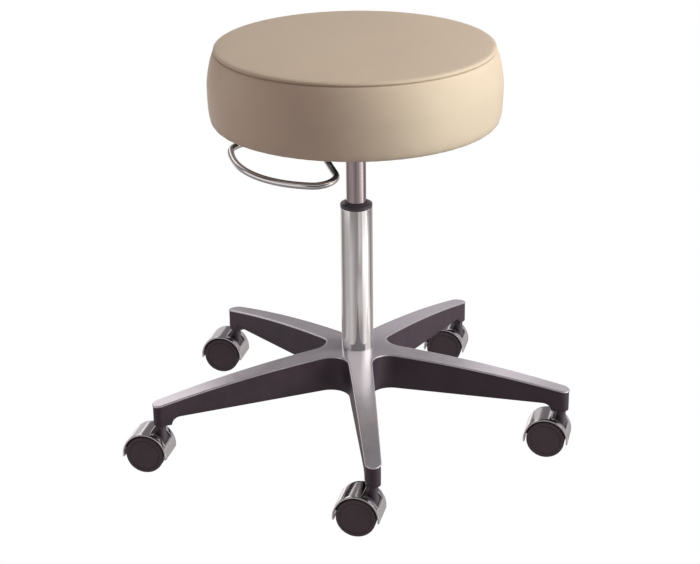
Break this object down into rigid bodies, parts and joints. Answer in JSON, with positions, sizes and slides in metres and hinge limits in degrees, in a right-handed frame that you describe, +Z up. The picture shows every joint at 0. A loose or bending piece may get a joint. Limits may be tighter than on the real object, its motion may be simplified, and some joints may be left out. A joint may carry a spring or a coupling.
{
  "type": "exam stool",
  "caption": "Backless pneumatic exam stool: round upholstered seat on a chromed lift column, D-shaped release handle, cast star base and hooded twin-wheel casters.",
  "frame": {"origin": "on the floor under the axis of the lift column", "axes": "+Z up along the column; the front arm of the base points along -Y; +X to the right"},
  "size_m": [0.6386, 0.5998, 0.5845],
  "materials": {
    "vinyl": "smooth coated vinyl, low sheen",
    "foam": "open-cell foam",
    "plywood": "black-stained plywood",
    "zinc_steel": "bright zinc plate",
    "black_steel": "satin black powder coat",
    "chrome": "polished chrome",
    "satin_steel": "ground satin steel",
    "bearing_steel": "polished steel",
    "black_plastic": "moulded black plastic",
    "bump_rubber": "black rubber",
    "cast_aluminium": "polished top, dark painted sides",
    "wheel_plastic": "dark brown-black moulded wheel"
  },
  "bodies": {
    "base": {"base_casting": "cast_aluminium", "column_tube": "chrome", "guide_bush": "black_plastic", "column_bottom_plate": "black_steel", "bearing_lower_race": "bearing_steel", "bearing_balls": "bearing_steel", "caster_stem_front": "zinc_steel", "caster_stem_front_left": "zinc_steel", "caster_stem_rear_left": "zinc_steel", "caster_stem_rear_right": "zinc_steel", "caster_stem_front_right": "zinc_steel"},
    "lift_rod": {"piston_rod": "bearing_steel", "piston": "bearing_steel", "bump_stop": "bump_rubber", "bearing_upper_race": "bearing_steel", "rod_clip": "zinc_steel"},
    "seat": {"cover_top": "vinyl", "cover_band": "vinyl", "cover_staples": "zinc_steel", "seat_foam": "foam", "seat_board": "plywood", "tee_nuts": "zinc_steel", "mount_screws": "zinc_steel", "mount_plate": "black_steel", "taper_socket": "black_steel", "lever_pin": "zinc_steel", "pin_clips": "zinc_steel", "gas_cylinder": "satin_steel", "cylinder_end": "black_plastic"},
    "handle": {"handle": "chrome", "release_lever": "black_steel"},
    "button": {"release_button": "satin_steel"},
    "caster_front": {"caster_body_front": "black_plastic", "caster_hood_front": "chrome", "caster_axle_front": "zinc_steel"},
    "wheel_a_front": {"caster_wheel_a_front": "wheel_plastic"},
    "wheel_b_front": {"caster_wheel_b_front": "wheel_plastic"},
    "caster_front_left": {"caster_body_front_left": "black_plastic", "caster_hood_front_left": "chrome", "caster_axle_front_left": "zinc_steel"},
    "wheel_a_front_left": {"caster_wheel_a_front_left": "wheel_plastic"},
    "wheel_b_front_left": {"caster_wheel_b_front_left": "wheel_plastic"},
    "caster_rear_left": {"caster_body_rear_left": "black_plastic", "caster_hood_rear_left": "chrome", "caster_axle_rear_left": "zinc_steel"},
    "wheel_a_rear_left": {"caster_wheel_a_rear_left": "wheel_plastic"},
    "wheel_b_rear_left": {"caster_wheel_b_rear_left": "wheel_plastic"},
    "caster_rear_right": {"caster_body_rear_right": "black_plastic", "caster_hood_rear_right": "chrome", "caster_axle_rear_right": "zinc_steel"},
    "wheel_a_rear_right": {"caster_wheel_a_rear_right": "wheel_plastic"},
    "wheel_b_rear_right": {"caster_wheel_b_rear_right": "wheel_plastic"},
    "caster_front_right": {"caster_body_front_right": "black_plastic", "caster_hood_front_right": "chrome", "caster_axle_front_right": "zinc_steel"},
    "wheel_a_front_right": {"caster_wheel_a_front_right": "wheel_plastic"},
    "wheel_b_front_right": {"caster_wheel_b_front_right": "wheel_plastic"}
  },
  "joints": [
    {"name": "seat_spin", "type": "hinge", "parent": "base", "child": "lift_rod", "pos_m": [0, 0, 0.1], "axis": [0, 0, 1], "continuous": true},
    {"name": "seat_lift", "type": "slide", "parent": "lift_rod", "child": "seat", "axis": [0, 0, 1], "range_m": [-0.065, 0.065]},
    {"name": "handle_tilt", "type": "hinge", "parent": "seat", "child": "handle", "pos_m": [-0.02547, -0.01585, 0.454], "axis": [-0.5284, 0.849, 0], "range_deg": [0, 5], "stiffness_Nm_per_rad": 2, "springref_deg": -8.59},
    {"name": "button_press", "type": "slide", "parent": "seat", "child": "button", "axis": [0, 0, 1], "range_m": [-0.0027, 0]},
    {"name": "swivel_front", "type": "hinge", "parent": "base", "child": "caster_front", "pos_m": [0, -0.2969, 0.05], "axis": [0, 0, 1], "continuous": true},
    {"name": "wheel_a_spin_front", "type": "hinge", "parent": "caster_front", "child": "wheel_a_front", "pos_m": [-0.01824, -0.29157, 0.027], "axis": [-0.2807, -0.9598, 0], "continuous": true},
    {"name": "wheel_b_spin_front", "type": "hinge", "parent": "caster_front", "child": "wheel_b_front", "pos_m": [-0.01824, -0.29157, 0.027], "axis": [-0.2807, -0.9598, 0], "continuous": true},
    {"name": "swivel_front_left", "type": "hinge", "parent": "base", "child": "caster_front_left", "pos_m": [-0.28237, -0.09175, 0.05], "axis": [0, 0, 1], "continuous": true},
    {"name": "wheel_a_spin_front_left", "type": "hinge", "parent": "caster_front_left", "child": "wheel_a_front_left", "pos_m": [-0.30061, -0.08641, 0.027], "axis": [-0.2807, -0.9598, 0], "continuous": true},
    {"name": "wheel_b_spin_front_left", "type": "hinge", "parent": "caster_front_left", "child": "wheel_b_front_left", "pos_m": [-0.30061, -0.08641, 0.027], "axis": [-0.2807, -0.9598, 0], "continuous": true},
    {"name": "swivel_rear_left", "type": "hinge", "parent": "base", "child": "caster_rear_left", "pos_m": [-0.17451, 0.2402, 0.05], "axis": [0, 0, 1], "continuous": true},
    {"name": "wheel_a_spin_rear_left", "type": "hinge", "parent": "caster_rear_left", "child": "wheel_a_rear_left", "pos_m": [-0.19275, 0.24553, 0.027], "axis": [-0.2807, -0.9598, 0], "continuous": true},
    {"name": "wheel_b_spin_rear_left", "type": "hinge", "parent": "caster_rear_left", "child": "wheel_b_rear_left", "pos_m": [-0.19275, 0.24553, 0.027], "axis": [-0.2807, -0.9598, 0], "continuous": true},
    {"name": "swivel_rear_right", "type": "hinge", "parent": "base", "child": "caster_rear_right", "pos_m": [0.17451, 0.2402, 0.05], "axis": [0, 0, 1], "continuous": true},
    {"name": "wheel_a_spin_rear_right", "type": "hinge", "parent": "caster_rear_right", "child": "wheel_a_rear_right", "pos_m": [0.15628, 0.24553, 0.027], "axis": [-0.2807, -0.9598, 0], "continuous": true},
    {"name": "wheel_b_spin_rear_right", "type": "hinge", "parent": "caster_rear_right", "child": "wheel_b_rear_right", "pos_m": [0.15628, 0.24553, 0.027], "axis": [-0.2807, -0.9598, 0], "continuous": true},
    {"name": "swivel_front_right", "type": "hinge", "parent": "base", "child": "caster_front_right", "pos_m": [0.28237, -0.09175, 0.05], "axis": [0, 0, 1], "continuous": true},
    {"name": "wheel_a_spin_front_right", "type": "hinge", "parent": "caster_front_right", "child": "wheel_a_front_right", "pos_m": [0.26413, -0.08641, 0.027], "axis": [-0.2807, -0.9598, 0], "continuous": true},
    {"name": "wheel_b_spin_front_right", "type": "hinge", "parent": "caster_front_right", "child": "wheel_b_front_right", "pos_m": [0.26413, -0.08641, 0.027], "axis": [-0.2807, -0.9598, 0], "continuous": true}
  ],
  "couplings": [
    {"joint": "button_press", "follows": "handle_tilt", "m_per_rad": -0.03}
  ]
}
